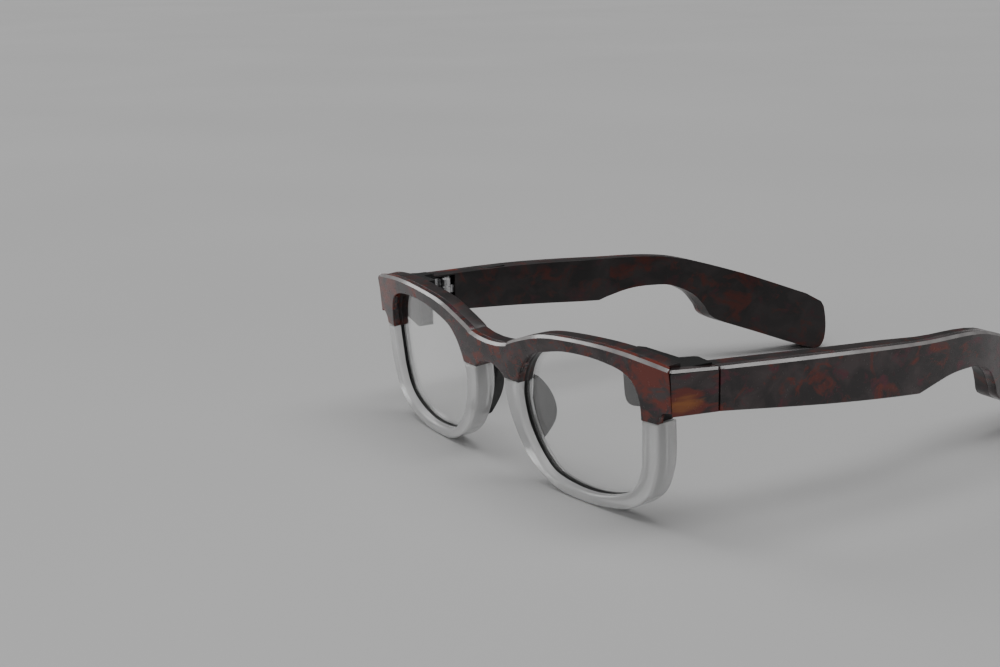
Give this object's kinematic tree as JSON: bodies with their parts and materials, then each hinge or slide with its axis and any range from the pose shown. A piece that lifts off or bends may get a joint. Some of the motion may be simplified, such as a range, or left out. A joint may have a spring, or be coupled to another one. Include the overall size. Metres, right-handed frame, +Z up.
{
  "type": "smart glasses",
  "caption": "Browline smart glasses with clear lower rims and two folding temples that hold batteries, boards and speakers, with an action button and a slider.",
  "frame": {"origin": "middle of the outline on the surface the glasses stand on, temples open", "axes": "+X to the wearer's left, +Y back along the temples, +Z up; the front faces -Y"},
  "size_m": [0.151, 0.1701, 0.0444],
  "materials": {
    "tortoise": "polished acetate with charcoal, red and amber mottles",
    "dark_tortoise": "satin, near black with dark red mottles",
    "black_plastic": "satin moulded",
    "crystal": "clear polished",
    "lens": "clear, coated",
    "gasket": "matt",
    "pad_rubber": "soft matt",
    "board": "solder mask",
    "steel": "bright",
    "flex": "polyimide film",
    "foil": "foil",
    "dark_parts": "matt",
    "contact_gold": "plated",
    "control_plastic": "satin"
  },
  "bodies": {
    "front": {"brow_front": "tortoise", "brow_liner": "dark_tortoise", "lower_rim_left": "crystal", "lower_rim_right": "crystal", "lens_left": "lens", "lens_right": "lens", "lens_gasket_left": "gasket", "lens_gasket_right": "gasket", "nose_pad_left": "pad_rubber", "nose_pad_right": "pad_rubber", "end_cover_left": "tortoise", "end_cover_right": "tortoise", "end_housing_left": "black_plastic", "end_housing_right": "black_plastic", "housing_lid_left": "black_plastic", "housing_lid_right": "black_plastic", "end_board_left": "board", "end_board_right": "board", "housing_screws": "steel", "bridge_flex": "flex", "front_hinge_leaf_left": "steel", "front_hinge_leaf_right": "steel", "hinge_screw_left": "steel", "hinge_screw_right": "steel"},
    "temple_left": {"temple_plate_left": "tortoise", "temple_shell_left": "dark_tortoise", "rear_hinge_leaf_left": "steel", "battery_left": "foil", "temple_board_left": "board", "speaker_left": "dark_parts", "speaker_grille_left": "dark_parts", "microphone_left": "foil", "temple_flex_left": "flex", "charge_contacts": "contact_gold", "slider_switch": "dark_parts"},
    "temple_right": {"temple_plate_right": "tortoise", "temple_shell_right": "dark_tortoise", "rear_hinge_leaf_right": "steel", "battery_right": "foil", "temple_board_right": "board", "speaker_right": "dark_parts", "speaker_grille_right": "dark_parts", "microphone_right": "foil", "temple_flex_right": "flex", "touch_strip": "flex", "button_switch": "dark_parts"},
    "action_button": {"action_button": "control_plastic"},
    "power_slider": {"power_slider": "control_plastic"}
  },
  "joints": [
    {"name": "temple_left_fold", "type": "hinge", "parent": "front", "child": "temple_left", "pos_m": [0.0656, -0.05874, 0.03545], "axis": [0, 0, 1], "range_deg": [0, 88]},
    {"name": "temple_right_fold", "type": "hinge", "parent": "front", "child": "temple_right", "pos_m": [-0.0656, -0.05874, 0.03545], "axis": [0, 0, -1], "range_deg": [0, 75]},
    {"name": "action_button_press", "type": "slide", "parent": "temple_right", "child": "action_button", "axis": [0, 0, -1], "range_m": [0, 0.0003], "stiffness_N_per_m": 1500},
    {"name": "power_slider_slide", "type": "slide", "parent": "temple_left", "child": "power_slider", "axis": [0.089, 0.996, 0], "range_m": [0, 0.002]}
  ]
}
